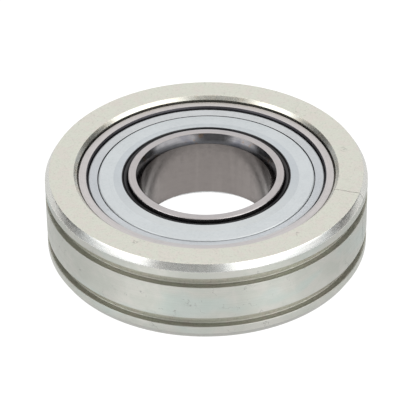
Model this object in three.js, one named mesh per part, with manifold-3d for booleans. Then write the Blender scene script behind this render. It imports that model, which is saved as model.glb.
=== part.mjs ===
// A self-aligning, sealed ball bearing in a grooved, fracture-split steel ring: a yoke-type cam follower.
// The cam or the machine's bore runs on the ring's outside, and a 25 mm pin goes through the inner ring.
// Millimetres. The bearing axis is Z. The origin is the bearing's centre, so every ring is mirrored in z = 0.
import * as THREE from "three";
import { mergeVertices } from "three/addons/utils/BufferGeometryUtils.js";
import Module from "manifold-3d";

const wasm = await Module();
wasm.setup();

// ---- Driving dimensions ----
const BORE = 25; // pin diameter
const SPHERE_DIAMETER = 52; // spherical outside of the bearing insert
const INSERT_WIDTH = 15; // width of both bearing rings
const HOUSING_DIAMETER = 62;
const HOUSING_WIDTH = 17;
const BALLS = 9;
const BALL_DIAMETER = 7.938; // 5/16 inch
const PITCH_DIAMETER = 39.04;

// ---- Secondary dimensions ----
const EDGE_CHAMFER = { radial: 0.8, axial: 1.35 };
const SEAL_GROOVE = { width: 2.0, depth: 1.25, fromFace: 3.92 }; // the two ring grooves for O-rings
const MOUTH_RADIUS = 25.45; // where the housing's spherical seat opens into its side face
const SPLIT = { azimuth: -16.5, width: 0.12 }; // the fracture line, degrees from +X
const SEAT_CLEARANCE = 0.05;
const RACE_CLEARANCE = 0.03;
const CONFORMITY = 0.516; // groove radius over ball diameter
const SHEET = 0.4; // seal washers
const SLIDE = 0.06; // gap between pieces that touch or slide
const INSERT_FACE = { outer: 24.47, inner: 23.08 }; // edges of the outer ring's flat side face
const INSERT_CORNER = 7.1; // height where the spherical outside ends and its rounded corner begins
const BORE_MOUTH = { radius: 13.54, depth: 1.77, bend: { radial: 0.38, depth: 0.75 } }; // rounded
const SEAL_SEAT = { entry: 22.9, groove: 23.35, top: 6.75, undercut: 0.1, step: 6.0 }; // in the outer ring
const LIP_LAND = { radius: 15.0, foot: 4.9, edge: 0.12 }; // of the inner ring, which the seal lip runs on
const SHOULDER = { outer: 21.5, inner: 17.15, innerHeight: 4.3 }; // radii beside the two raceways
const CAGE = { inner: 17.9, outer: 21.1, sheet: 0.8, pocketClearance: 0.15 };
const RIVET = { shank: 0.55, head: 1.1, headHeight: 0.45, headEdge: 0.08, crown: 0.6, holeClearance: 0.08 };

// ---- Derived sizes ----
const SEGMENTS = 40; // facets round every turned piece
const SMALL_SEGMENTS = 8; // facets round a rivet and its hole
const SEAT_BENDS = 6; // chords along each spherical surface's outline
const RACE_BENDS = 4; // chords across each raceway
const POCKET_BENDS = 6; // chords round each cage pocket
const WELD = 1e-4; // corners closer than this are one
const FACET = Math.cos(Math.PI / SEGMENTS); // a facet's middle lies this share of its corners' radius out
const housingFace = HOUSING_WIDTH / 2;
const insertFace = INSERT_WIDTH / 2;
const ballRadius = BALL_DIAMETER / 2;
const pitchRadius = PITCH_DIAMETER / 2;
const grooveRadius = CONFORMITY * BALL_DIAMETER;

// ---- Materials ----
const finish = (color, roughness, metalness) =>
  new THREE.MeshStandardMaterial({ color, roughness, metalness });
const zincPlate = finish(0xcdcec4, 0.45, 0.8);
const groundSteel = finish(0xa9a3a1, 0.35, 0.9);
const zincSheet = finish(0xc5ccd1, 0.5, 0.7);
const polishedSteel = finish(0xd8d8da, 0.12, 1.0);
const cageSteel = finish(0x9a9a98, 0.4, 0.9);
const nitrileRubber = finish(0x17171a, 0.7, 0.0);

// ---- Shape helpers ----
const part = new THREE.Group();

function add(name, geometry, material, parent = part) {
  const mesh = new THREE.Mesh(geometry, material);
  mesh.name = name;
  parent.add(mesh);
  return mesh;
}

/** A ring turned about Z from a closed [radius, height] outline that runs anticlockwise. */
function turned(outline) {
  const points = [...outline, outline[0]].map(([r, z]) => new THREE.Vector2(r, z));
  return new THREE.LatheGeometry(points, SEGMENTS).rotateX(Math.PI / 2);
}

/** Points on a circle of that centre and radius, in the [radius, height] plane. */
function arc(centre, radius, from, to, steps) {
  return Array.from({ length: steps + 1 }, (_, i) => {
    const a = from + ((to - from) * i) / steps;
    return [centre + radius * Math.cos(a), radius * Math.sin(a)];
  });
}

/** A hollow circle's corners, pushed out so that its chords stay clear of the true circle. */
function hollowArc(centre, radius, from, to, steps) {
  return arc(centre, radius / Math.cos((to - from) / steps / 2), from, to, steps);
}

/** Lower outline points are the upper ones mirrored, in reverse order. */
const mirrored = (points) => points.map(([r, z]) => [r, -z]).reverse();

/** The radii of an inward-facing wall, pushed out so that its facets' middles are at the true radius. */
const bored = (points) => points.map(([r, z]) => [r / FACET, z]);

function solidFrom(geometry) {
  const bare = geometry.index ? geometry.toNonIndexed() : geometry.clone();
  bare.deleteAttribute("normal");
  bare.deleteAttribute("uv");
  const merged = mergeVertices(bare, WELD);
  return new wasm.Manifold(
    new wasm.Mesh({
      numProp: 3,
      vertProperties: merged.attributes.position.array,
      triVerts: new Uint32Array(merged.index.array),
    }),
  );
}

function geometryFrom(solid) {
  const mesh = solid.getMesh();
  return new THREE.BufferGeometry()
    .setAttribute("position", new THREE.BufferAttribute(mesh.vertProperties, 3))
    .setIndex(new THREE.BufferAttribute(mesh.triVerts, 1));
}

/** Calls make(name suffix, group) for the upper side, and for the lower side, turned over about X. */
function onBothSides(make) {
  for (const [suffix, turn] of [["upper", 0], ["lower", Math.PI]]) {
    const side = new THREE.Group();
    side.rotation.x = turn;
    part.add(side);
    make(suffix, side);
  }
}

// ---- Housing ring: zinc-plated, two O-ring grooves, spherical seat, split through once ----
function housingRing() {
  const r = HOUSING_DIAMETER / 2;
  const floor = r - SEAL_GROOVE.depth;
  const grooveTop = housingFace - SEAL_GROOVE.fromFace + SEAL_GROOVE.width / 2;
  const grooveBottom = grooveTop - SEAL_GROOVE.width;
  const outside = [
    [r, grooveBottom],
    [floor, grooveBottom],
    [floor, grooveTop],
    [r, grooveTop],
    [r, housingFace - EDGE_CHAMFER.axial],
    [r - EDGE_CHAMFER.radial, housingFace],
  ];
  // The 45 degree mouth runs in until it meets the seat: (mouth - t)^2 + (face - t)^2 = seat^2.
  const seat = SPHERE_DIAMETER / 2 + SEAT_CLEARANCE;
  const sum = MOUTH_RADIUS + housingFace;
  const t = (sum - Math.sqrt(2 * seat ** 2 - (MOUTH_RADIUS - housingFace) ** 2)) / 2;
  const reach = Math.asin((housingFace - t) / seat);
  const inside = [
    [MOUTH_RADIUS, housingFace],
    ...bored(hollowArc(0, seat, reach, -reach, SEAT_BENDS)),
    [MOUTH_RADIUS, -housingFace],
  ];
  const ring = solidFrom(turned([...mirrored(outside), ...outside, ...inside]));
  const saw = new THREE.BoxGeometry(r, SPLIT.width, 2 * HOUSING_WIDTH)
    .translate(r, 0, 0)
    .rotateZ(THREE.MathUtils.degToRad(SPLIT.azimuth));
  add("split_housing_ring", geometryFrom(ring.subtract(solidFrom(saw))), zincPlate);
}

// ---- Bearing outer ring: spherical outside, a seal seat at each side, ball groove inside ----
function outerRing() {
  const sphere = SPHERE_DIAMETER / 2 - SEAT_CLEARANCE;
  const reach = Math.asin(INSERT_CORNER / sphere);
  const race = pitchRadius + ballRadius + RACE_CLEARANCE;
  const centre = race - grooveRadius;
  const shoulderAngle = Math.acos((SHOULDER.outer - centre) / grooveRadius);
  const upperSeat = [
    [INSERT_FACE.inner, insertFace],
    [SEAL_SEAT.entry, SEAL_SEAT.top],
    [SEAL_SEAT.groove, SEAL_SEAT.top - SEAL_SEAT.undercut],
    [SEAL_SEAT.groove, SEAL_SEAT.step],
    [SHOULDER.outer, SEAL_SEAT.step],
  ];
  const outline = [
    ...arc(0, sphere, -reach, reach, SEAT_BENDS),
    [INSERT_FACE.outer, insertFace],
    ...bored(upperSeat),
    ...bored(hollowArc(centre, grooveRadius, shoulderAngle, -shoulderAngle, RACE_BENDS)),
    ...bored(mirrored(upperSeat)),
    [INSERT_FACE.outer, -insertFace],
  ];
  add("bearing_outer_ring", turned(outline), groundSteel);
}

// ---- Bearing inner ring: bore with rounded mouths, seal lands, ball groove outside ----
function innerRing() {
  const bore = BORE / 2;
  const race = pitchRadius - ballRadius - RACE_CLEARANCE;
  const centre = race + grooveRadius;
  const shoulderAngle = Math.acos((centre - SHOULDER.inner) / grooveRadius);
  const upper = [
    [SHOULDER.inner, SHOULDER.innerHeight],
    [LIP_LAND.radius, LIP_LAND.foot],
    [LIP_LAND.radius, insertFace - LIP_LAND.edge],
    [LIP_LAND.radius - LIP_LAND.edge, insertFace],
    [BORE_MOUTH.radius, insertFace],
    ...bored([
      [bore + BORE_MOUTH.bend.radial, insertFace - BORE_MOUTH.bend.depth],
      [bore, insertFace - BORE_MOUTH.depth],
    ]),
  ];
  const [from, to] = [Math.PI + shoulderAngle, Math.PI - shoulderAngle];
  const groove = hollowArc(centre, grooveRadius, from, to, RACE_BENDS);
  const outline = [...groove, ...upper, ...mirrored(upper)];
  add("bearing_inner_ring", turned(outline), groundSteel);
}

// ---- Seals, three pieces a side: a steel carrier in the outer ring, a rubber lip and a steel cover ----
// Radii and heights of the corners of each piece's section, for the upper side.
const WEB = { inner: 16.9, outer: 21.2, top: 5.96 }; // the carrier's flat web, which backs the rubber
const FLANGE = { rim: 22.75, rimFoot: 6.5, rimTop: 6.62, crest: 22.42, crestTop: 7.03 };
const FLANGE_EDGE = { radius: 20.86, top: 6.66 }; // inner edge of the flange, beside the cover
const COVER = { outer: 20.78, bend: 17.87, inner: 15.95, flat: 6.79, hemFoot: 6.74, hemTop: 7.13 };
const COVER_UNDER_BEND = 17.8; // radius where the cover's underside turns up
const COVER_EDGE = { depth: 0.12, lean: 0.05, width: 0.25 }; // the cover's rounded outer edge
const LIP = { neck: 17.75, back: 15.86, backFoot: 6.66, backTop: 6.98, brow: 15.35, browTop: 6.8 };
const LIP_TIP = { top: 6.45, foot: 6.3, throat: 15.5, throatFoot: 5.85 };
const LIP_HEEL = { radius: 16.75, foot: 5.75, step: 0.08 };

function sealCarrier(suffix, side) {
  const seated = { radius: SEAL_SEAT.groove - 0.1, foot: SEAL_SEAT.step + SLIDE };
  const outline = [
    [WEB.inner, WEB.top - SHEET],
    [WEB.outer, WEB.top - SHEET],
    [WEB.outer + 0.1, seated.foot],
    [seated.radius, seated.foot],
    [seated.radius, FLANGE.rimFoot],
    [FLANGE.rim, FLANGE.rimTop],
    [FLANGE.crest, FLANGE.crestTop],
    [FLANGE_EDGE.radius, FLANGE_EDGE.top],
    [FLANGE_EDGE.radius, WEB.top],
    [WEB.inner, WEB.top],
  ];
  add(`seal_carrier_${suffix}`, turned(outline), zincSheet, side);
}

function sealLip(suffix, side) {
  const tip = (LIP_LAND.radius + SLIDE) / FACET; // clears the corners of the land
  const underCover = COVER.flat - SHEET - SLIDE;
  const outline = [
    [COVER.outer - SLIDE, WEB.top + SLIDE],
    [COVER.outer - SLIDE, underCover],
    [LIP.neck, underCover],
    [LIP.back, LIP.backFoot],
    [LIP.back, LIP.backTop],
    [LIP.brow, LIP.browTop],
    [tip, LIP_TIP.top],
    [tip, LIP_TIP.foot],
    [LIP_TIP.throat, LIP_TIP.throatFoot],
    [LIP_HEEL.radius, LIP_HEEL.foot],
    [LIP_HEEL.radius + LIP_HEEL.step, WEB.top + SLIDE],
  ];
  add(`seal_lip_${suffix}`, turned(outline), nitrileRubber, side);
}

function sealCover(suffix, side) {
  const outline = [
    [COVER_UNDER_BEND, COVER.flat - SHEET],
    [COVER.outer, COVER.flat - SHEET],
    [COVER.outer - COVER_EDGE.lean, COVER.flat - COVER_EDGE.depth],
    [COVER.outer - COVER_EDGE.width, COVER.flat],
    [COVER.bend, COVER.flat],
    [COVER.inner + COVER_EDGE.lean, COVER.hemTop],
    [COVER.inner, COVER.hemFoot],
  ];
  add(`seal_cover_${suffix}`, turned(outline), zincSheet, side);
}

// ---- Balls ----
const ballAngle = (k) => (2 * Math.PI * k) / BALLS;

function balls() {
  for (let k = 0; k < BALLS; k++) {
    const ball = add(`ball_${k + 1}`, new THREE.IcosahedronGeometry(ballRadius, 2), polishedSteel);
    ball.position.set(pitchRadius * Math.cos(ballAngle(k)), pitchRadius * Math.sin(ballAngle(k)), 0);
    ball.rotation.z = ballAngle(k);
  }
}

// ---- Cage: two pressed ribbons riveted together between the balls ----
/**
 * One pocket's stations, from land to land in order of rising angle. Each holds the strip's two corners
 * there, below and above, as [angle from the ball, height].
 */
function pocketStations() {
  const inside = (ballRadius + CAGE.pocketClearance) / Math.cos(Math.PI / POCKET_BENDS / 2);
  const outside = inside + CAGE.sheet;
  const foot = SLIDE / 2; // half the gap between the two ribbons
  const landTop = foot + CAGE.sheet;
  const turn = (s) => Math.asin(s / pitchRadius);
  const landStart = Math.sqrt(outside ** 2 - landTop ** 2);
  const stations = [];
  for (let i = 0; i <= POCKET_BENDS; i++) {
    const beta = (Math.PI * i) / POCKET_BENDS;
    const ends = i === 0 || i === POCKET_BENDS;
    const sign = Math.sign(Math.cos(beta)) || 1;
    stations.push({
      below: [
        turn(ends ? sign * inside : inside * Math.cos(beta)),
        ends ? foot : inside * Math.sin(beta),
      ],
      above: [
        turn(ends ? sign * landStart : outside * Math.cos(beta)),
        ends ? landTop : outside * Math.sin(beta),
      ],
    });
  }
  return stations.reverse();
}

/** A closed ribbon that bends over all the balls: each station's four corners, joined to the next one's. */
function cageRibbon() {
  const stations = pocketStations();
  const positions = [];
  for (let k = 0; k < BALLS; k++) {
    for (const { below, above } of stations) {
      for (const [r, [angle, z]] of [
        [CAGE.inner, below],
        [CAGE.outer, below],
        [CAGE.outer, above],
        [CAGE.inner, above],
      ]) {
        const a = ballAngle(k) + angle;
        positions.push(r * Math.cos(a), r * Math.sin(a), z);
      }
    }
  }
  const corners = 4;
  const sections = BALLS * stations.length;
  const index = [];
  for (let s = 0; s < sections; s++) {
    const here = corners * s;
    const next = corners * ((s + 1) % sections);
    for (let c = 0; c < corners; c++) {
      const d = (c + 1) % corners;
      index.push(here + c, next + d, here + d, here + c, next + c, next + d);
    }
  }
  return new THREE.BufferGeometry()
    .setAttribute("position", new THREE.Float32BufferAttribute(positions, 3))
    .setIndex(index);
}

const rivetAngle = (k) => (2 * Math.PI * (k + 0.5)) / BALLS;

function cageAndRivets() {
  let ribbon = solidFrom(cageRibbon());
  const holeRadius = RIVET.shank + RIVET.holeClearance;
  const holeLength = 6 * CAGE.sheet; // more than enough to cut through
  for (let k = 0; k < BALLS; k++) {
    const hole = new THREE.CylinderGeometry(holeRadius, holeRadius, holeLength, SMALL_SEGMENTS)
      .rotateX(Math.PI / 2)
      .translate(pitchRadius * Math.cos(rivetAngle(k)), pitchRadius * Math.sin(rivetAngle(k)), 0);
    ribbon = ribbon.subtract(solidFrom(hole));
  }
  const half = geometryFrom(ribbon);
  onBothSides((suffix, side) => {
    // The lower ribbon is the upper one turned over about X, and its pockets still meet the balls.
    add(`cage_half_${suffix}`, half.clone(), cageSteel, side);
  });

  const under = SLIDE / 2 + CAGE.sheet + SLIDE; // height of a head's underside
  const top = under + RIVET.headHeight;
  const outline = [
    [0, -top],
    [RIVET.crown * RIVET.head, -top + RIVET.headEdge],
    [RIVET.head, -under],
    [RIVET.shank, -under],
    [RIVET.shank, under],
    [RIVET.head, under],
    [RIVET.crown * RIVET.head, top - RIVET.headEdge],
    [0, top],
  ].map(([r, z]) => new THREE.Vector2(r, z));
  for (let k = 0; k < BALLS; k++) {
    const rivet = new THREE.LatheGeometry(outline, SMALL_SEGMENTS).rotateX(Math.PI / 2);
    const mesh = add(`cage_rivet_${k + 1}`, rivet, cageSteel);
    mesh.position.set(pitchRadius * Math.cos(rivetAngle(k)), pitchRadius * Math.sin(rivetAngle(k)), 0);
  }
}

housingRing();
outerRing();
innerRing();
onBothSides(sealCarrier);
onBothSides(sealLip);
onBothSides(sealCover);
balls();
cageAndRivets();

export default part;
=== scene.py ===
"""Looks for a yoke-type cam follower: a sealed self-aligning ball bearing in a grooved, split ring.

Every ring is a turned outline with rounded corners, given in millimetres and built in metres.
The bearing's axis is Z and its centre is the origin.
"""
import math

import bmesh
import bpy
from mathutils import Matrix, Vector


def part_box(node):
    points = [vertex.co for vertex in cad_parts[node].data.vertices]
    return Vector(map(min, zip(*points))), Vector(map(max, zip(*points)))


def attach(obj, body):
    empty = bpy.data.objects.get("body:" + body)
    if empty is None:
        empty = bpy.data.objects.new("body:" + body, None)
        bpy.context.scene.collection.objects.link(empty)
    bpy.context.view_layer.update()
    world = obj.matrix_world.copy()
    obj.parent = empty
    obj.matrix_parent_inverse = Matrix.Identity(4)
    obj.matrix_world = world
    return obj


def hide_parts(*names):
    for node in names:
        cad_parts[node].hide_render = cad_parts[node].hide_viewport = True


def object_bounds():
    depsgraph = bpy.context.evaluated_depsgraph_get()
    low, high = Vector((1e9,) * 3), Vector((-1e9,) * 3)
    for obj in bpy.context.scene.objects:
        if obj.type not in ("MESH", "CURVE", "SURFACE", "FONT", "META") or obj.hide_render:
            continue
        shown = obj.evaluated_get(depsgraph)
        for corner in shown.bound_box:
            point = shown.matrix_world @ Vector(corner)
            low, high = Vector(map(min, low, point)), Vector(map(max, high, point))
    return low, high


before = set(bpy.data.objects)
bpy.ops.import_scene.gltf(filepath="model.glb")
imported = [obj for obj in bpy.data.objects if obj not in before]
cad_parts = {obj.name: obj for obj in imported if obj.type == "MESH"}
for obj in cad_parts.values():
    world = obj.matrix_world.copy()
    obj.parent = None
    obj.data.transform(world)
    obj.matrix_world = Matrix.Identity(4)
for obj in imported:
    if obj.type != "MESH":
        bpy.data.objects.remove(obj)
cad_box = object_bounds()

MM = 0.001


# ---------------------------------------------------------------- sizes, millimetres
def size_of(node):
    """Outer radius and upper height of a CAD node that is turned about Z."""
    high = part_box(node)[1]
    return high.x / MM, high.z / MM


def centre_of(node):
    """Middle of a CAD node's box, in metres."""
    low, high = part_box(node)
    return (low + high) / 2


HOUSING_RADIUS, HOUSING_FACE = size_of("split_housing_ring")
RING_FACE = size_of("bearing_outer_ring")[1]

BALLS = sum(name.startswith("ball_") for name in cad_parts)
BALL_RADIUS = 7.938 / 2
BALL_CLEARANCE = 0.03  # between a ball and each raceway
PITCH_RADIUS = centre_of("ball_1").xy.length / MM
RACE_RADIUS = 0.516 * 2 * BALL_RADIUS  # of a raceway's section, 51.6 percent of the ball's diameter

SPHERE = 26.0
SEAT_GAP = 0.05  # half the gap between the insert's sphere and the ring's seat
EDGE_CHAMFER = (0.8, 1.35)  # radial, axial
GROOVE = (3.58, 5.58)  # heights of the ring groove's walls above the middle
GROOVE_FLOOR = HOUSING_RADIUS - 1.25
MOUTH_RADIUS = 25.45  # of the seat's mouth, where it opens in the ring's face
MOUTH_FOOT = (24.79, 7.82)  # radius and height at which the mouth meets the seat
SPLIT_AZIMUTH = -16.5
SPLIT_WIDTH = 0.08

SPHERE_HEIGHT = 7.1  # of the outer ring's spherical surface above the middle
RACE_FACE_EDGES = (23.08, 24.47)  # inner and outer radius of the outer ring's flat face
OUTER_SHOULDER = 21.5
INNER_SHOULDER = 17.15
SEAL_LAND = 15.0
INNER_FACE_EDGE = 14.88
BORE = 12.5
BORE_MOUTH = 13.54  # radius of the bore's rounded corner at the face
BORE_MOUTH_DEPTH = 1.75
BORE_MOUTH_BEND = Vector((12.91, 6.82))  # the corner's curve is drawn towards this point

CAGE_RADII = (17.9, 21.1)
CAGE_SHEET = 0.8
RIBBON_GAP = 0.03  # half the gap between the two ribbons
POCKET_CLEARANCE = 0.18
POCKET_BLEND = 0.35  # distance over which a pocket's wall rolls into the flat land
RIVET_SHANK = 0.55
RIVET_HEAD = (1.1, 0.5)  # radius, height
RIVET_CLEARANCE = 0.06

# ---------------------------------------------------------------- fineness
COLUMNS = 288  # round a turned ring
COLUMNS_PER_BALL = 48  # along a cage ribbon
RIVET_COLUMNS = 24
BALL_SUBDIVISIONS = 4
LONGEST_EDGE = 0.5  # in the tyre ring's outline, in millimetres
SPLIT_FADE = 6  # columns beside the cut over which its waves die out
SHARP_ANGLE = 35  # degrees


# ---------------------------------------------------------------- outlines
def rounded(corners, steps=4):
    """Rounds each (r, z, fillet radius, finish) corner of an outline.

    A corner's finish names the surface from there to the next corner.
    """
    points = []
    count = len(corners)
    for i, (r, z, fillet, finish) in enumerate(corners):
        before, after = corners[i - 1], corners[(i + 1) % count]
        here = Vector((r, z))
        back, ahead = Vector(before[:2]) - here, Vector(after[:2]) - here
        if not fillet:
            points.append((r, z, finish))
            continue
        turn = back.angle(ahead)
        reach = min(fillet / math.tan(turn / 2), 0.45 * back.length, 0.45 * ahead.length)
        start, end = here + back.normalized() * reach, here + ahead.normalized() * reach
        for k in range(steps + 1):
            t = k / steps
            p = start * (1 - t) ** 2 + here * 2 * t * (1 - t) + end * t * t
            points.append((p.x, p.y, finish if 2 * k >= steps else before[3]))
    return points


def subdivided(points, longest):
    """Adds points along the long edges of an outline."""
    result = []
    for i, (r, z, finish) in enumerate(points):
        r2, z2, _ = points[(i + 1) % len(points)]
        pieces = max(1, math.ceil(math.hypot(r2 - r, z2 - z) / longest))
        result += [(r + (r2 - r) * k / pieces, z + (z2 - z) * k / pieces, finish) for k in range(pieces)]
    return result


def mirrored(corners):
    """The same corners below the middle, in the order that continues an anticlockwise outline."""
    flipped = [(r, -z, fillet) for r, z, fillet, _ in corners][::-1]
    finishes = [c[3] for c in corners][::-1]
    return [(*f, finishes[(i + 1) % len(finishes)]) for i, f in enumerate(flipped)]


def arc(centre, radius, start, end, steps, finish):
    """Points of a circle round (centre, 0), each with no fillet of its own. Angles are in radians."""
    angles = [start + (end - start) * k / steps for k in range(steps + 1)]
    return [(centre + radius * math.cos(a), radius * math.sin(a), 0, finish) for a in angles]


# ---------------------------------------------------------------- meshes
def new_object(name, bm, finishes):
    """A smooth-shaded object from a bmesh; a face's material index counts along finishes."""
    bmesh.ops.recalc_face_normals(bm, faces=bm.faces)
    mesh = bpy.data.meshes.new(name)
    bm.to_mesh(mesh)
    bm.free()
    for finish in finishes:
        mesh.materials.append(MATERIALS[finish])
    mesh.polygons.foreach_set("use_smooth", [True] * len(mesh.polygons))
    mesh.set_sharp_from_angle(angle=math.radians(SHARP_ANGLE))
    obj = bpy.data.objects.new(name, mesh)
    bpy.context.scene.collection.objects.link(obj)
    return obj


def turned(name, points, flip=False, split=None):
    """Turns an outline about Z, upside down if flipped.

    split = (azimuth, width, wander) leaves a thin wavy cut through the ring.
    """
    bm = bmesh.new()
    finishes = sorted({p[2] for p in points})
    sign = -1 if flip else 1
    stations = COLUMNS + 1 if split else COLUMNS
    grid = []
    for c in range(stations):
        column = []
        for r, z, _ in points:
            if split:
                azimuth, width, wander = split
                t = c / COLUMNS
                near = max(0.0, 1 - min(t, 1 - t) * COLUMNS / SPLIT_FADE)
                gap = width / r
                angle = math.radians(azimuth) + gap / 2 + t * (math.tau - gap) + near * wander(r, z) / r
            else:
                angle = math.tau * c / COLUMNS
            column.append(bm.verts.new((r * math.cos(angle) * MM, r * math.sin(angle) * MM, sign * z * MM)))
        grid.append(column)
    for c in range(COLUMNS):
        here, there = grid[c], grid[(c + 1) % stations]
        for i, point in enumerate(points):
            j = (i + 1) % len(points)
            face = bm.faces.new((here[i], here[j], there[j], there[i]))
            face.material_index = finishes.index(point[2])
    if split:
        for column in (grid[0], grid[-1]):
            bm.faces.new(column).material_index = 0
    return new_object(name, bm, finishes)


def wander(r, z):
    """How far the fracture strays sideways from a plane, in millimetres."""
    long_wave = 0.05 * math.sin(1.9 * r + 0.8 * z)
    short_wave = 0.03 * math.sin(4.3 * r - 2.1 * z + 1.0)
    ripple = 0.02 * math.sin(9 * r + 5 * z)
    return long_wave + short_wave + ripple


def housing_ring():
    """The tyre: two ring grooves, chamfered edges, a spherical seat and the fracture split."""
    chamfer_r, chamfer_z = EDGE_CHAMFER
    upper = [
        (HOUSING_RADIUS, GROOVE[0], 0.10, "groove"),
        (GROOVE_FLOOR, GROOVE[0], 0.30, "groove"),
        # The wall from this corner outwards, under the groove's upper lip, is painted near black: painted
        # shade.
        (GROOVE_FLOOR, GROOVE[1], 0.30, "groove_wall"),
        (HOUSING_RADIUS, GROOVE[1], 0.16, "cylinder"),
        (HOUSING_RADIUS, HOUSING_FACE - chamfer_z, 0.25, "chamfer"),
        (HOUSING_RADIUS - chamfer_r, HOUSING_FACE, 0.12, "face"),
    ]
    seat = SPHERE + SEAT_GAP
    foot_r, foot_z = MOUTH_FOOT
    reach = math.asin(foot_z / seat)
    inside = [
        (MOUTH_RADIUS, HOUSING_FACE, 0.10, "mouth"),
        *arc(0, seat, reach, -reach, 18, "seat")[:-1],
        (foot_r, -foot_z, 0, "mouth"),
        (MOUTH_RADIUS, -HOUSING_FACE, 0.10, "face"),
    ]
    lower = [
        # The lower chamfer is much darker than the upper one: painted shade where it faces the floor.
        (HOUSING_RADIUS - chamfer_r, -HOUSING_FACE, 0.12, "lower_chamfer"),
        (HOUSING_RADIUS, -HOUSING_FACE + chamfer_z, 0.25, "cylinder"),
        (HOUSING_RADIUS, -GROOVE[1], 0.16, "groove"),
        (GROOVE_FLOOR, -GROOVE[1], 0.30, "groove"),
        # The wall from this corner outwards, under the groove's upper lip, is painted near black: painted
        # shade.
        (GROOVE_FLOOR, -GROOVE[0], 0.30, "groove_wall"),
        (HOUSING_RADIUS, -GROOVE[0], 0.10, "cylinder"),
    ]
    points = subdivided(rounded(lower + upper + inside), LONGEST_EDGE)
    ring = turned("tyre_ring", points, split=(SPLIT_AZIMUTH, SPLIT_WIDTH, wander))
    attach(ring, "housing")
    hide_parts("split_housing_ring")


def outer_ring():
    """The insert's outer ring: spherical outside, raceway inside, and a stepped seat for each seal."""
    sphere = SPHERE - SEAT_GAP
    reach = math.asin(SPHERE_HEIGHT / sphere)
    race_centre = PITCH_RADIUS + BALL_RADIUS + BALL_CLEARANCE - RACE_RADIUS
    shoulder = math.acos((OUTER_SHOULDER - race_centre) / RACE_RADIUS)
    face_inner, face_outer = RACE_FACE_EDGES
    # The seal seat's walls are painted near black: painted shade in the recess behind the seal.
    seal_seat = [
        (face_inner, RING_FACE, 0.10, "recess"),
        (22.90, 7.15, 0.10, "recess"),
        (22.90, 6.75, 0.05, "recess"),
        (23.35, 6.65, 0.05, "recess"),
        (23.35, 6.00, 0.05, "recess"),
        (OUTER_SHOULDER, 6.00, 0.10, "recess"),
    ]
    lower_face = [(face_inner, -RING_FACE, 0.10, "race_face"), (face_outer, -RING_FACE, 0.12, "sphere")]
    corners = (
        arc(0, sphere, -reach, reach, 18, "sphere")
        + [(face_outer, RING_FACE, 0.12, "race_face")]
        + seal_seat
        + arc(race_centre, RACE_RADIUS, shoulder, -shoulder, 14, "raceway")
        + mirrored(seal_seat)[:-1]
        + lower_face
    )
    ring = turned("insert_outer_ring", rounded(corners))
    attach(ring, "bearing_outer")
    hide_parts("bearing_outer_ring")


def inner_ring():
    """The insert's inner ring. The bore's corners are curves: the upper one stained over painted shade, the
    lower one painted light.
    """
    race_centre = PITCH_RADIUS - BALL_RADIUS - BALL_CLEARANCE + RACE_RADIUS
    shoulder = math.acos((race_centre - INNER_SHOULDER) / RACE_RADIUS)
    first = Vector((BORE_MOUTH, RING_FACE))
    last = Vector((BORE, RING_FACE - BORE_MOUTH_DEPTH))
    steps = 9
    mouth = []
    for k in range(1, steps):
        t = k / steps
        p = first * (1 - t) ** 2 + BORE_MOUTH_BEND * 2 * t * (1 - t) + last * t * t
        mouth.append((p.x, p.y, 0, "bore_corner"))
    upper = [
        # The shoulder and wall under the seal lip are painted dark: painted shade.
        (INNER_SHOULDER, 4.3, 0.10, "seal_land"),
        (SEAL_LAND, 4.9, 0.10, "seal_land"),
        (SEAL_LAND, RING_FACE - 0.12, 0.05, "inner_face"),
        (INNER_FACE_EDGE, RING_FACE, 0.05, "inner_face"),
        (BORE_MOUTH, RING_FACE, 0.06, "bore_corner"),
        *mouth,
        (BORE, RING_FACE - BORE_MOUTH_DEPTH, 0.12, "bore"),
    ]
    # The lower corner is painted near white as painted light; the upper one is painted dark as painted
    # shade.
    lower = [(*c[:3], "clean_corner" if c[3] == "bore_corner" else c[3]) for c in mirrored(upper)]
    raceway = arc(race_centre, RACE_RADIUS, math.pi + shoulder, math.pi - shoulder, 14, "raceway")
    corners = raceway + upper + lower
    ring = turned("insert_inner_ring", rounded(corners))
    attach(ring, "inner_ring")
    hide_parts("bearing_inner_ring")


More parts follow.
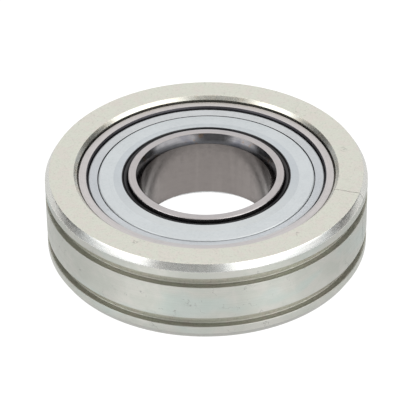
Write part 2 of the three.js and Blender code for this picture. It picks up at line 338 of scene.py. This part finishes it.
# Corners of the upper seal's pieces: radius, height, fillet radius and finish. The lower seal is the same,
# turned over.
SEAL_OUTLINES = {
    "carrier": [
        (16.90, 5.56, 0.10, "carrier"),
        (21.20, 5.56, 0.10, "carrier"),
        (21.30, 6.06, 0.10, "carrier"),
        # The carrier's rolled edge and inner wall are painted near black here: painted shade.
        (23.25, 6.06, 0.15, "recess"),
        (23.25, 6.50, 0.15, "recess"),
        (22.78, 6.60, 0.10, "flange"),
        (22.55, 6.98, 0.15, "flange"),
        (22.30, 7.03, 0.20, "flange"),
        (20.94, 6.68, 0.06, "recess"),
        (20.92, 5.96, 0.05, "carrier"),
        (16.90, 5.96, 0.10, "carrier"),
    ],
    "lip": [
        (20.72, 6.02, 0.05, "rubber"),
        (20.72, 6.33, 0.05, "rubber"),
        (17.75, 6.33, 0.30, "rubber"),
        (15.86, 6.66, 0.05, "rubber"),
        (15.86, 6.98, 0.08, "rubber"),
        (15.35, 6.80, 0.15, "rubber"),
        (15.08, 6.45, 0.06, "rubber"),
        (15.08, 6.30, 0.06, "rubber"),
        (15.50, 5.85, 0.20, "rubber"),
        (16.75, 5.75, 0.15, "rubber"),
        (16.83, 6.02, 0.05, "rubber"),
    ],
    "cover": [
        (17.80, 6.39, 0.80, "cover"),
        (20.78, 6.39, 0.05, "cover"),
        (20.74, 6.64, 0.10, "cover"),
        (20.53, 6.80, 0.16, "cover"),
        # The slope from this corner inwards is a little darker than the flat cover: painted shade.
        (17.87, 6.79, 1.60, "cover_slope"),
        # The sheet cover's inner edge, from this corner on, takes the black rubber finish.
        (16.26, 7.095, 0.05, "rubber"),
        (16.12, 7.12, 0.08, "rubber"),
        (16.00, 6.98, 0.08, "rubber"),
        (15.95, 6.74, 0.10, "cover"),
    ],
}


def seals():
    """Both seals: a sheet-steel carrier, a rubber lip and a sheet-steel cover over it."""
    for side in ("upper", "lower"):
        for piece, corners in SEAL_OUTLINES.items():
            points = rounded(corners, steps=5)
            obj = turned(f"seal_{piece}_{side}_fine", points, flip=side == "lower")
            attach(obj, "bearing_outer")
            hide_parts(f"seal_{piece}_{side}")


def balls():
    """The nine balls, each on its own body."""
    for k in range(1, BALLS + 1):
        bm = bmesh.new()
        bmesh.ops.create_icosphere(bm, subdivisions=BALL_SUBDIVISIONS, radius=BALL_RADIUS * MM)
        bmesh.ops.translate(bm, verts=bm.verts, vec=centre_of(f"ball_{k}"))
        ball = new_object(f"bearing_ball_{k}", bm, ["ball"])
        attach(ball, f"rolling_ball_{k}")
        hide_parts(f"ball_{k}")


def ribbon_height(angle):
    """Height of a cage ribbon's middle surface at an angle from the nearest ball."""
    across = PITCH_RADIUS * math.sin(abs(angle))
    middle = BALL_RADIUS + POCKET_CLEARANCE + CAGE_SHEET / 2
    land = RIBBON_GAP + CAGE_SHEET / 2
    if across >= middle:
        return land + POCKET_BLEND / 9  # close to the height at which the blended wall below ends
    pocket = math.sqrt(middle**2 - across**2)
    return 0.5 * (pocket + land + math.hypot(pocket - land, POCKET_BLEND))


def cage_halves():
    """Two pressed ribbons that bulge round every ball and face each other flat in between."""
    columns = BALLS * COLUMNS_PER_BALL
    centreline = []
    for c in range(columns):
        angle = math.tau * c / columns
        nearest = (angle + math.pi / BALLS) % (math.tau / BALLS) - math.pi / BALLS
        centreline.append(Vector((PITCH_RADIUS * angle, ribbon_height(nearest))))
    length = math.tau * PITCH_RADIUS
    for side, sign in (("upper", 1), ("lower", -1)):
        bm = bmesh.new()
        rings = []
        for c, here in enumerate(centreline):
            before = centreline[c - 1] - Vector((length if c == 0 else 0, 0))
            after = centreline[(c + 1) % columns] + Vector((length if c == columns - 1 else 0, 0))
            along = (after - before).normalized()
            normal = Vector((-along.y, along.x)) * CAGE_SHEET / 2
            section = []
            for offset in (-1, 1):
                p = here + normal * offset
                height = max(p.y, RIBBON_GAP)
                a = p.x / PITCH_RADIUS
                for r in CAGE_RADII if offset < 0 else CAGE_RADII[::-1]:
                    place = (r * math.cos(a) * MM, r * math.sin(a) * MM, sign * height * MM)
                    section.append(bm.verts.new(place))
            rings.append(section)
        for c in range(columns):
            here, there = rings[c], rings[(c + 1) % columns]
            for i in range(4):
                j = (i + 1) % 4
                bm.faces.new((here[i], here[j], there[j], there[i]))
        half = new_object(f"cage_ribbon_{side}", bm, ["cage"])
        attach(half, "cage")
        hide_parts(f"cage_half_{side}")


def rivets():
    """Rivets with a domed head at both ends, between the balls."""
    under = RIBBON_GAP + CAGE_SHEET + RIVET_CLEARANCE
    head_radius, head_height = RIVET_HEAD
    angles = [math.radians(8 * k) for k in range(11)]
    dome = [(head_radius * math.cos(a), under + head_height * math.sin(a)) for a in angles]
    upper = [(RIVET_SHANK, 0.0), (RIVET_SHANK, under), *dome, (0.0, under + head_height)]
    outline = [(r, -z) for r, z in upper[:0:-1]] + upper
    for k in range(1, BALLS + 1):
        bm = bmesh.new()
        profile = [bm.verts.new((r * MM, 0, z * MM)) for r, z in outline]
        edges = [bm.edges.new(pair) for pair in zip(profile, profile[1:])]
        whole = profile + edges
        bmesh.ops.spin(bm, geom=whole, axis=(0, 0, 1), angle=math.tau, steps=RIVET_COLUMNS, use_merge=True)
        bmesh.ops.remove_doubles(bm, verts=bm.verts, dist=1e-7)
        bmesh.ops.translate(bm, verts=bm.verts, vec=centre_of(f"cage_rivet_{k}"))
        rivet = new_object(f"cage_rivet_{k}_fine", bm, ["cage"])
        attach(rivet, "cage")
        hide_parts(f"cage_rivet_{k}")


# ---------------------------------------------------------------- materials
class Nodes:
    """Short names for the shader nodes used here. Lengths in patterns are millimetres on the part."""

    def __init__(self, name):
        self.material = bpy.data.materials.new(name)
        self.material.use_nodes = True
        self.tree = self.material.node_tree
        self.shader = self.tree.nodes["Principled BSDF"]
        self.place = self.scaled(self.add("ShaderNodeTexCoord").outputs["Object"], 1 / MM)
        x, y, self.height = self.split(self.place)
        squares = self.maths("ADD", self.maths("MULTIPLY", x, x), self.maths("MULTIPLY", y, y))
        self.radius = self.maths("SQRT", squares)
        self.across = (self.maths("DIVIDE", x, self.radius), self.maths("DIVIDE", y, self.radius))

    def add(self, kind, **settings):
        """A new node with the given settings."""
        node = self.tree.nodes.new(kind)
        for key, value in settings.items():
            setattr(node, key, value)
        return node

    def link(self, value, socket):
        """Joins a socket to another one, or sets it to a number or colour."""
        if isinstance(value, bpy.types.NodeSocket):
            self.tree.links.new(value, socket)
        else:
            socket.default_value = value

    def maths(self, operation, a, b=0.0):
        node = self.add("ShaderNodeMath", operation=operation)
        self.link(a, node.inputs[0])
        self.link(b, node.inputs[1])
        return node.outputs[0]

    def scaled(self, vector, scale):
        node = self.add("ShaderNodeVectorMath", operation="SCALE")
        self.link(vector, node.inputs[0])
        node.inputs["Scale"].default_value = scale
        return node.outputs[0]

    def split(self, vector):
        node = self.add("ShaderNodeSeparateXYZ")
        self.link(vector, node.inputs[0])
        return node.outputs[0], node.outputs[1], node.outputs[2]

    def rings(self, lengthwise, spacing):
        """A place whose patterns run round the axis, stretched along the ring and `spacing` apart."""
        node = self.add("ShaderNodeCombineXYZ")
        for socket, value in zip(node.inputs, self.across):
            self.link(self.maths("MULTIPLY", value, lengthwise), socket)
        outwards = self.maths("ADD", self.radius, self.height)
        self.link(self.maths("DIVIDE", outwards, spacing), node.inputs[2])
        return node.outputs[0]

    def streaks(self, lengthwise, spacing):
        """A place whose patterns run along the axis, `spacing` apart round the ring."""
        node = self.add("ShaderNodeCombineXYZ")
        for socket, value in zip(node.inputs, self.across):
            self.link(self.maths("DIVIDE", self.maths("MULTIPLY", value, self.radius), spacing), socket)
        self.link(self.maths("DIVIDE", self.height, lengthwise), node.inputs[2])
        return node.outputs[0]

    def noise(self, size, detail=3.0, roughness=0.55, place=None, distortion=0.0):
        """Cloudy noise from 0 to 1, with features about `size` across."""
        node = self.add("ShaderNodeTexNoise")
        self.link(place or self.place, node.inputs["Vector"])
        node.inputs["Scale"].default_value = 1 / size
        node.inputs["Detail"].default_value = detail
        node.inputs["Roughness"].default_value = roughness
        node.inputs["Distortion"].default_value = distortion
        return node.outputs["Fac"]

    def step(self, value, low, high, to_low=0.0, to_high=1.0):
        """A smooth step: to_low below low, to_high above high."""
        node = self.add("ShaderNodeMapRange", clamp=True, interpolation_type="SMOOTHSTEP")
        self.link(value, node.inputs["Value"])
        for key, number in (("From Min", low), ("From Max", high), ("To Min", to_low), ("To Max", to_high)):
            node.inputs[key].default_value = number
        return node.outputs["Result"]

    def mix(self, factor, a, b):
        """Colour a at factor 0, colour b at factor 1."""
        node = self.add("ShaderNodeMix", data_type="RGBA", blend_type="MIX")
        self.link(factor, node.inputs["Factor"])
        for value, name in ((a, "A"), (b, "B")):
            socket = next(s for s in node.inputs if s.name == name and s.type == "RGBA")
            self.link((*value, 1) if isinstance(value, tuple) else value, socket)
        return next(s for s in node.outputs if s.type == "RGBA")

    def hairlines(self, size, width, bend=0.5):
        """Thin wandering lines, 1 on the line and 0 away from it."""
        node = self.add("ShaderNodeTexVoronoi", feature="DISTANCE_TO_EDGE")
        warp = self.add("ShaderNodeTexNoise")
        self.link(self.place, warp.inputs["Vector"])
        warp.inputs["Scale"].default_value = 2.5 / size
        warp.inputs["Detail"].default_value = 3.0
        shifted = self.add("ShaderNodeVectorMath", operation="MULTIPLY_ADD")
        self.link(warp.outputs["Color"], shifted.inputs[0])
        shifted.inputs[1].default_value = (bend * size,) * 3
        self.link(self.place, shifted.inputs[2])
        self.link(shifted.outputs[0], node.inputs["Vector"])
        node.inputs["Scale"].default_value = 1 / size
        return self.step(node.outputs["Distance"], 0.0, width / size, 1.0, 0.0)

    def bump(self, height, depth, after=None):
        """A normal from a height, of which 1 stands for `depth`, on top of the normal `after`."""
        node = self.add("ShaderNodeBump")
        node.inputs["Distance"].default_value = depth * MM
        node.inputs["Strength"].default_value = 1.0
        self.link(height, node.inputs["Height"])
        if after is not None:
            self.link(after, node.inputs["Normal"])
        return node.outputs["Normal"]

    def finish(self, color, roughness, metallic, normal, anisotropic=0.0, specular=0.5):
        """Sets the shader and returns the material. Anisotropic finishes are brushed round the axis."""
        inputs = self.shader.inputs
        self.link((*color, 1) if isinstance(color, tuple) else color, inputs["Base Color"])
        self.link(roughness, inputs["Roughness"])
        inputs["Metallic"].default_value = metallic
        inputs["Specular IOR Level"].default_value = specular
        self.link(normal, inputs["Normal"])
        if anisotropic:
            inputs["Anisotropic"].default_value = anisotropic
            tangent = self.add("ShaderNodeTangent", direction_type="RADIAL", axis="Z")
            self.link(tangent.outputs[0], inputs["Tangent"])
        return self.material


def zinc(
    name, color, dark, warm, roughness, metallic, turning, marks,
    grain_depth=0.006, ring_depth=0.005, gloss_spread=0.06,
):
    """Zinc plate with a clear passivate: cloudy and finely speckled, with turning rings.

    `turning` is how strongly the rings show, and `marks` how strongly dirt and hairlines do.
    """
    n = Nodes(name)
    cloud = n.noise(2.2, 5.0, 0.68, distortion=0.6)
    grain = n.noise(0.42, 3.0, 0.7)
    speck = n.noise(0.17, 2.0, 0.6)
    tone = n.mix(n.step(cloud, 0.42, 0.62), color, warm)
    tone = n.mix(n.step(grain, 0.50, 0.74, 0.0, 0.55), tone, dark)
    tone = n.mix(n.step(speck, 0.56, 0.72, 0.0, 0.55), tone, dark)
    dirt = n.maths("MULTIPLY", n.step(n.noise(0.45, 1.0), 0.70, 0.76), n.step(n.noise(5.0), 0.45, 0.62))
    tone = n.mix(n.maths("MULTIPLY", dirt, marks), tone, tuple(0.35 * c for c in dark))
    ring = n.noise(1.0, 2.0, 0.6, place=n.rings(2.0, 0.16))
    tone = n.mix(n.step(ring, 0.45, 0.70, 0.0, turning), tone, dark)
    if marks:
        lines = n.maths("MULTIPLY", n.hairlines(4.5, 0.10), n.step(n.noise(4.0), 0.56, 0.68, 0.0, marks))
        tone = n.mix(lines, tone, tuple(0.45 * c for c in dark))
    gloss = n.step(n.noise(0.8, 3.0), 0.3, 0.7, roughness - gloss_spread, roughness + gloss_spread)
    normal = n.bump(n.noise(0.22, 3.0, 0.65), grain_depth)
    normal = n.bump(ring, ring_depth, after=normal)
    return n.finish(tone, gloss, metallic, normal)


def plated_cylinder(name):
    """The ring's outside: plated like its faces, rolled smooth, with faint rainbow films and drag marks."""
    n = Nodes(name)
    cloud = n.noise(5.0, 4.0, 0.6, distortion=0.8)
    tone = n.mix(n.step(cloud, 0.40, 0.64), (0.575, 0.59, 0.54), (0.625, 0.62, 0.575))
    film = n.step(n.noise(3.0, 2.0, 0.5, place=n.rings(7.0, 2.4)), 0.52, 0.66, 0.0, 0.42)
    tone = n.mix(film, tone, (0.52, 0.63, 0.60))
    rings = n.noise(1.0, 2.0, 0.6, place=n.rings(1.5, 0.09))
    tone = n.mix(n.step(rings, 0.46, 0.72, 0.0, 0.20), tone, (0.38, 0.39, 0.35))
    drag = n.noise(1.0, 3.0, 0.7, place=n.streaks(3.0, 0.35))
    tone = n.mix(n.step(drag, 0.60, 0.78, 0.0, 0.10), tone, (0.70, 0.71, 0.68))
    speck = n.noise(0.16, 2.0, 0.6)
    tone = n.mix(n.step(speck, 0.60, 0.80, 0.0, 0.40), tone, (0.36, 0.37, 0.34))
    marks = n.maths("MULTIPLY", n.hairlines(3.6, 0.07, 0.9), n.step(n.noise(2.6), 0.56, 0.64, 0.0, 0.80))
    tone = n.mix(marks, tone, (0.30, 0.30, 0.28))
    gloss = n.step(n.noise(1.2, 3.0), 0.3, 0.7, 0.34, 0.46)
    normal = n.bump(rings, 0.004)
    normal = n.bump(n.noise(0.3, 3.0, 0.6), 0.004, after=normal)
    return n.finish(tone, gloss, 0.85, normal)


def ground(
    name, color, shade, roughness,
    spacing=0.07, strength=0.5, anisotropic=0.6, stain=0.0, streak=0.0,
):
    """Ground or honed bearing steel: close rings round the axis, with slight clouding."""
    n = Nodes(name)
    rings = n.noise(1.0, 2.0, 0.65, place=n.rings(1.2, spacing))
    tone = n.mix(n.step(rings, 0.38, 0.66, 0.0, strength), color, shade)
    tone = n.mix(n.step(n.noise(1.6, 4.0, 0.65), 0.48, 0.72, 0.0, 0.35), tone, shade)
    # streak paints lighter bands along the axis: a painted highlight.
    if streak:
        painted_highlight_bands = n.noise(1.0, 2.0, 0.5, place=n.streaks(30.0, 2.4))
        tone = n.mix(n.step(painted_highlight_bands, 0.50, 0.66, 0.0, streak), tone, tuple(1.5 * c for c in color))
    if stain:
        spots = n.step(n.noise(2.2, 3.0, 0.6, distortion=1.2), 0.60, 0.70, 0.0, stain)
        tone = n.mix(spots, tone, (0.20, 0.13, 0.08))
        film = n.step(n.noise(3.5, 2.0, 0.5), 0.52, 0.66, 0.0, stain)
        tone = n.mix(film, tone, (0.115, 0.115, 0.135))
    gloss = n.step(n.noise(0.9, 3.0), 0.3, 0.7, roughness - 0.04, roughness + 0.06)
    normal = n.bump(rings, 0.002)
    return n.finish(tone, gloss, 1.0, normal, anisotropic=anisotropic)


def sheet_zinc(name, color, shade, roughness, metallic=0.75, spangle_depth=0.004, ring_depth=0.006):
    """Zinc-coated pressed sheet: bluish, soft, with a fine spangle."""
    n = Nodes(name)
    spangle = n.noise(0.5, 3.0, 0.7)
    tone = n.mix(n.step(spangle, 0.42, 0.70, 0.0, 0.45), color, shade)
    cloud = n.noise(6.0, 3.0, 0.5)
    tone = n.mix(n.step(cloud, 0.45, 0.65, 0.0, 0.5), tone, tuple(min(1.0, 1.05 * c) for c in color))
    rings = n.noise(1.0, 2.0, 0.6, place=n.rings(1.0, 0.35))
    tone = n.mix(n.step(rings, 0.50, 0.75, 0.0, 0.22), tone, shade)
    gloss = n.step(n.noise(0.9, 3.0), 0.3, 0.7, roughness - 0.05, roughness + 0.06)
    normal = n.bump(n.noise(0.18, 3.0, 0.7), spangle_depth)
    normal = n.bump(rings, ring_depth, after=normal)
    return n.finish(tone, gloss, metallic, normal)


def rubber(name):
    """Moulded nitrile rubber: nearly black, with a greyish bloom and a little dust."""
    n = Nodes(name)
    bloom = n.step(n.noise(1.4, 4.0, 0.6), 0.45, 0.75, 0.0, 0.5)
    tone = n.mix(bloom, (0.010, 0.010, 0.012), (0.030, 0.030, 0.032))
    dust = n.step(n.noise(0.20, 2.0, 0.6), 0.72, 0.82, 0.0, 0.35)
    tone = n.mix(dust, tone, (0.12, 0.12, 0.12))
    rings = n.noise(1.0, 2.0, 0.5, place=n.rings(0.8, 0.12))
    normal = n.bump(rings, 0.0015)
    return n.finish(tone, n.step(bloom, 0.0, 0.5, 0.32, 0.48), 0.0, normal, specular=0.4)


def polished(name):
    """A lapped ball: a mirror with slight haze."""
    n = Nodes(name)
    haze = n.step(n.noise(2.0, 4.0, 0.6), 0.4, 0.7, 0.0, 0.4)
    tone = n.mix(haze, (0.74, 0.74, 0.75), (0.62, 0.61, 0.60))
    gloss = n.step(n.noise(0.6, 4.0), 0.3, 0.7, 0.05, 0.12)
    return n.finish(tone, gloss, 1.0, n.bump(n.noise(0.1, 2.0), 0.0006))


def pressed(name):
    """Pressed steel strip, grained and lightly oiled."""
    n = Nodes(name)
    grain = n.noise(0.4, 4.0, 0.7)
    tone = n.mix(n.step(grain, 0.40, 0.70, 0.0, 0.6), (0.46, 0.45, 0.43), (0.28, 0.27, 0.26))
    oil = n.step(n.noise(3.0, 3.0), 0.5, 0.7, 0.0, 0.5)
    tone = n.mix(oil, tone, (0.30, 0.25, 0.17))
    return n.finish(tone, n.step(grain, 0.3, 0.7, 0.28, 0.42), 1.0, n.bump(grain, 0.01))


MATERIALS = {
    "face": zinc(
        "zinc_plate_face", (0.72, 0.73, 0.655), (0.53, 0.54, 0.48), (0.735, 0.705, 0.65),
        roughness=0.50, metallic=0.80, turning=0.05, marks=0.45,
    ),
    "cylinder": plated_cylinder("zinc_plate_cylinder"),
    "chamfer": zinc(
        "zinc_plate_chamfer", (0.855, 0.86, 0.815), (0.75, 0.75, 0.71), (0.88, 0.865, 0.815),
        roughness=0.27, metallic=1.0, turning=0.30, marks=0.0,
        grain_depth=0.0007, ring_depth=0.0010, gloss_spread=0.024,
    ),
    # The lower chamfer: the chamfer's zinc plate darkened as painted shade, where it faces the floor.
    "lower_chamfer": zinc(
        "zinc_plate_lower_chamfer", (0.50, 0.505, 0.47), (0.34, 0.34, 0.31), (0.53, 0.52, 0.49),
        roughness=0.34, metallic=1.0, turning=0.45, marks=0.0,
    ),
    "mouth": zinc(
        "zinc_plate_mouth", (0.76, 0.76, 0.695), (0.67, 0.67, 0.60), (0.78, 0.73, 0.62),
        roughness=0.28, metallic=1.0, turning=0.30, marks=0.0,
        grain_depth=0.0004, ring_depth=0.0009, gloss_spread=0.02,
    ),
    "groove": zinc(
        "zinc_plate_groove", (0.56, 0.565, 0.485), (0.34, 0.34, 0.28), (0.58, 0.555, 0.49),
        roughness=0.45, metallic=0.9, turning=0.3, marks=0.0,
    ),
    # The grooves' upper walls: the same zinc plate painted near black, as painted shade inside the grooves.
    "groove_wall": zinc(
        "zinc_plate_groove_wall", (0.13, 0.13, 0.105), (0.08, 0.08, 0.06), (0.14, 0.135, 0.11),
        roughness=0.45, metallic=0.9, turning=0.3, marks=0.0,
    ),
    "seat": zinc(
        "zinc_plate_seat", (0.40, 0.41, 0.37), (0.22, 0.22, 0.20), (0.42, 0.40, 0.37),
        roughness=0.35, metallic=0.9, turning=0.3, marks=0.0,
    ),
    "race_face": ground(
        "ground_face", (0.65, 0.62, 0.615), (0.50, 0.475, 0.475),
        roughness=0.34, spacing=0.10, anisotropic=0.3,
    ),
    "inner_face": ground(
        "ground_inner_face", (0.565, 0.535, 0.535), (0.435, 0.41, 0.41),
        roughness=0.34, spacing=0.10, anisotropic=0.3,
    ),
    "sphere": ground("ground_sphere", (0.50, 0.48, 0.47), (0.36, 0.35, 0.34), roughness=0.25),
    "raceway": ground("honed_raceway", (0.62, 0.61, 0.60), (0.50, 0.49, 0.48), roughness=0.12),
    # Dark steel for the shoulder under the seal lip: painted shade.
    "seal_land": ground("seal_land", (0.30, 0.29, 0.29), (0.20, 0.19, 0.19), roughness=0.25),
    # Near-black steel for the seal recesses and the carrier's rolled edge: painted shade.
    "recess": ground(
        "seal_recess", (0.10, 0.095, 0.105), (0.05, 0.05, 0.055),
        roughness=0.40, spacing=0.10, strength=0.4, anisotropic=0.2,
    ),
    # The bore's steel is far darker than the ring's faces: painted shade inside the bore, with painted
    # highlight streaks.
    "bore": ground(
        "honed_bore_painted_shade", (0.147, 0.133, 0.127), (0.122, 0.110, 0.105),
        roughness=0.20, spacing=0.05, anisotropic=0.0, streak=0.12,
    ),
    # The bore's upper corner: real stains over a base darkened as painted shade.
    "bore_corner": ground(
        "bore_corner", (0.205, 0.20, 0.205), (0.125, 0.12, 0.125),
        roughness=0.20, spacing=0.12, strength=0.6, anisotropic=0.4, stain=0.6,
    ),
    # The bore's lower corner, painted near white: painted light.
    "clean_corner": ground(
        "lower_corner_painted_light", (0.86, 0.86, 0.86), (0.80, 0.80, 0.80),
        roughness=0.20, spacing=0.12, strength=0.3, anisotropic=0.0,
    ),
    "cover": sheet_zinc("zinc_sheet_cover", (0.67, 0.705, 0.725), (0.57, 0.61, 0.63), roughness=0.42),
    # The cover's slope: smoother than the flat cover, and darker as painted shade.
    "cover_slope": sheet_zinc(
        "zinc_sheet_slope_painted_shade", (0.60, 0.635, 0.66), (0.545, 0.585, 0.605),
        roughness=0.33, metallic=0.85, spangle_depth=0.0005, ring_depth=0.001,
    ),
    "flange": sheet_zinc(
        "zinc_sheet_flange", (0.59, 0.615, 0.64), (0.47, 0.49, 0.51),
        roughness=0.36, spangle_depth=0.014,
    ),
    "carrier": sheet_zinc("zinc_sheet_carrier", (0.50, 0.52, 0.53), (0.38, 0.40, 0.41), roughness=0.42),
    "rubber": rubber("nitrile_rubber"),
    "ball": polished("lapped_ball"),
    "cage": pressed("pressed_cage"),
}

housing_ring()
outer_ring()
inner_ring()
seals()
balls()
cage_halves()
rivets()


# ---------------------------------------------------------------- floor, lights and camera
CAMERA_AZIMUTH = -90
CAMERA_ELEVATION = 35.22
CAMERA_DISTANCE = 0.5194  # metres, from the middle of the ring's upper face
CAMERA_TURN = 0.035  # degrees, to the right of that middle
CAMERA_PITCH = 36.049
CAMERA_ROLL = 0.689
LENS = 234.35  # millimetres, for a sensor 36 millimetres wide

FLOOR_DROP = 0.00005  # the floor is a hair below the part, so that two flat surfaces never share a plane
CARD_LIFT = 0.0002  # of the cards on the floor above the part's underside
CARD_DISTANCE = 0.75
SOFTBOX_DISTANCE = 1.0
ALL_ROUND = (-180, 180)
BEYOND_PART = (0.0346, 0.16)  # from just outside the ring to well away from it


def plain(name, color, glow):
    """A dull even material for the studio's own surfaces, with a white glow."""
    mat = bpy.data.materials.new(name)
    mat.use_nodes = True
    inputs = mat.node_tree.nodes["Principled BSDF"].inputs
    inputs["Base Color"].default_value = (*color, 1)
    inputs["Roughness"].default_value = 0.8
    inputs["Specular IOR Level"].default_value = 0.1
    inputs["Emission Color"].default_value = (1, 1, 1, 1)
    inputs["Emission Strength"].default_value = glow
    return mat


def stage_mesh(name, points, faces):
    mesh = bpy.data.meshes.new(name)
    mesh.from_pydata(points, [], faces)
    obj = bpy.data.objects.new(name, mesh)
    bpy.context.scene.collection.objects.link(obj)
    return obj


def plane(name, width, depth):
    x, y = width / 2, depth / 2
    return stage_mesh(name, [(-x, -y, 0), (x, -y, 0), (x, y, 0), (-x, y, 0)], [(0, 1, 2, 3)])


def at(azimuth, elevation, distance):
    """A point by direction from the part: azimuth from +X, elevation above the floor, in degrees."""
    a = math.radians(azimuth)
    e = math.radians(elevation)
    return Vector((math.cos(a) * math.cos(e), math.sin(a) * math.cos(e), math.sin(e))) * distance


def facing_part(obj, position):
    obj.location = position
    obj.rotation_euler = position.to_track_quat("Z", "Y").to_euler()


def softbox(name, azimuth, elevation, width, height, radiance):
    """A soft light that only reflections show. The sky and the floor give the diffuse light."""
    light = bpy.data.lights.new(name, "AREA")
    light.shape = "RECTANGLE"
    light.size = width
    light.size_y = height
    light.energy = radiance * math.pi * width * height
    obj = bpy.data.objects.new(name, light)
    bpy.context.scene.collection.objects.link(obj)
    facing_part(obj, at(azimuth, elevation, SOFTBOX_DISTANCE))
    obj.visible_diffuse = False


def studio_sky():
    """Surroundings that are dark near the horizon and bright above, as in a light tent with open sides."""
    world = bpy.data.worlds.new("studio")
    world.use_nodes = True
    nodes = world.node_tree.nodes
    links = world.node_tree.links
    direction = nodes.new("ShaderNodeTexCoord").outputs["Generated"]
    upward = nodes.new("ShaderNodeSeparateXYZ")
    links.new(direction, upward.inputs[0])
    ramp = nodes.new("ShaderNodeValToRGB")
    stops = (  # sine of the elevation above the horizon, and colour
        (0.0, (0.20, 0.20, 0.21)),
        (0.09, (0.38, 0.39, 0.41)),
        (0.26, (0.74, 0.77, 0.81)),
        (0.58, (0.845, 0.855, 0.87)),
        (0.82, (1.16, 1.12, 1.06)),
        (1.0, (1.0, 1.0, 1.0)),
    )
    elements = ramp.color_ramp.elements
    while len(elements) < len(stops):
        elements.new(0.5)
    for element, (sine, color) in zip(elements, stops):
        element.position = sine
        element.color = (*color, 1)
    links.new(upward.outputs[2], ramp.inputs[0])
    links.new(ramp.outputs[0], nodes["Background"].inputs["Color"])
    return world


def only_reflected(card, glow):
    """Makes a studio surface an even grey that shows in reflections and nowhere else."""
    card.data.materials.append(plain(card.name + "_cloth", (0.0, 0.0, 0.0), glow))
    card.visible_camera = False
    card.visible_shadow = False
    card.visible_diffuse = False


def standing_card(name, azimuth, elevation, width, height, glow):
    """A grey surface that faces the part, for what the metal reflects from beyond the floor."""
    card = plane(name, width, height)
    facing_part(card, at(azimuth, elevation, CARD_DISTANCE))
    only_reflected(card, glow)


def floor_card(name, reach, azimuths, glow):
    """A flat arc of grey on the floor: radii and azimuths are (from, to), azimuth 0 towards the camera."""
    steps = 48
    points = []
    for radius in reach:
        for k in range(steps + 1):
            a = math.radians(CAMERA_AZIMUTH + azimuths[0] + (azimuths[1] - azimuths[0]) * k / steps)
            points.append((radius * math.cos(a), radius * math.sin(a), 0))
    card = stage_mesh(name, points, [(k, k + steps + 1, k + steps + 2, k + 1) for k in range(steps)])
    card.location.z = cad_box[0][2] + CARD_LIFT
    only_reflected(card, glow)


floor = plane("floor", 6.0, 6.0)
floor.location.z = cad_box[0][2] - FLOOR_DROP
floor.data.materials.append(plain("white_paper", (0.10, 0.10, 0.10), 1.0))
bpy.context.scene.world = studio_sky()

# The cards' places and glows were chosen by comparing renders with the photograph.
# The paper's shade close to the ring and round it, which the ring's outside reflects.
floor_card("contact_shade", (0.0300, 0.0345), ALL_ROUND, 0.80)
floor_card("front_shade", BEYOND_PART, (-17, 17), 0.88)
for side in (-1, 1):
    floor_card(f"near_side_shade_{side}", BEYOND_PART, (side * 40, side * 56), 0.84)
    floor_card(f"side_shade_{side}", BEYOND_PART, (side * 56, side * 150), 0.70)

# The paper under the bearing, which the bore reflects: bright in the middle, dark under the insert.
floor_card("bore_floor_middle", (0.0005, 0.0103), ALL_ROUND, 1.75)
floor_card("bore_floor_rim", (0.0109, 0.0124), ALL_ROUND, 0.45)
floor_card("bore_floor_edge", (0.0124, 0.0141), ALL_ROUND, 1.25)
floor_card("under_insert_shade", (0.0143, 0.0250), ALL_ROUND, 0.05)

# The room: a lit wall beyond the part, dimness behind the camera and darkness at both sides.
standing_card("bright_wall", CAMERA_AZIMUTH + 180, 13, 0.80, 0.20, 1.20)
standing_card("room_behind_camera", CAMERA_AZIMUTH - 14, 38, 0.66, 0.62, 0.275)
for side in (-1, 1):
    standing_card(f"room_beside_{side}", CAMERA_AZIMUTH + side * 108, 14, 0.50, 0.52, 0.06)

softbox("left_softbox", CAMERA_AZIMUTH - 60, 34, 0.70, 0.60, 1.30)
softbox("right_softbox", CAMERA_AZIMUTH + 52, 36, 1.25, 0.62, 1.20)

camera_data = bpy.data.cameras.new("camera")
camera_data.sensor_width = 36
camera_data.lens = LENS
camera_data.clip_start = 0.01
camera_data.clip_end = 50
camera = bpy.data.objects.new("camera", camera_data)
bpy.context.scene.collection.objects.link(camera)
camera.location = at(CAMERA_AZIMUTH, CAMERA_ELEVATION, CAMERA_DISTANCE) + Vector((0, 0, HOUSING_FACE * MM))
camera.rotation_euler = (
    Matrix.Rotation(math.radians(-CAMERA_TURN), 3, "Z")
    @ Matrix.Rotation(math.radians(90 - CAMERA_PITCH), 3, "X")
    @ Matrix.Rotation(math.radians(-CAMERA_ROLL), 3, "Z")
).to_euler()
bpy.context.scene.camera = camera
bpy.context.scene.view_settings.view_transform = "Standard"
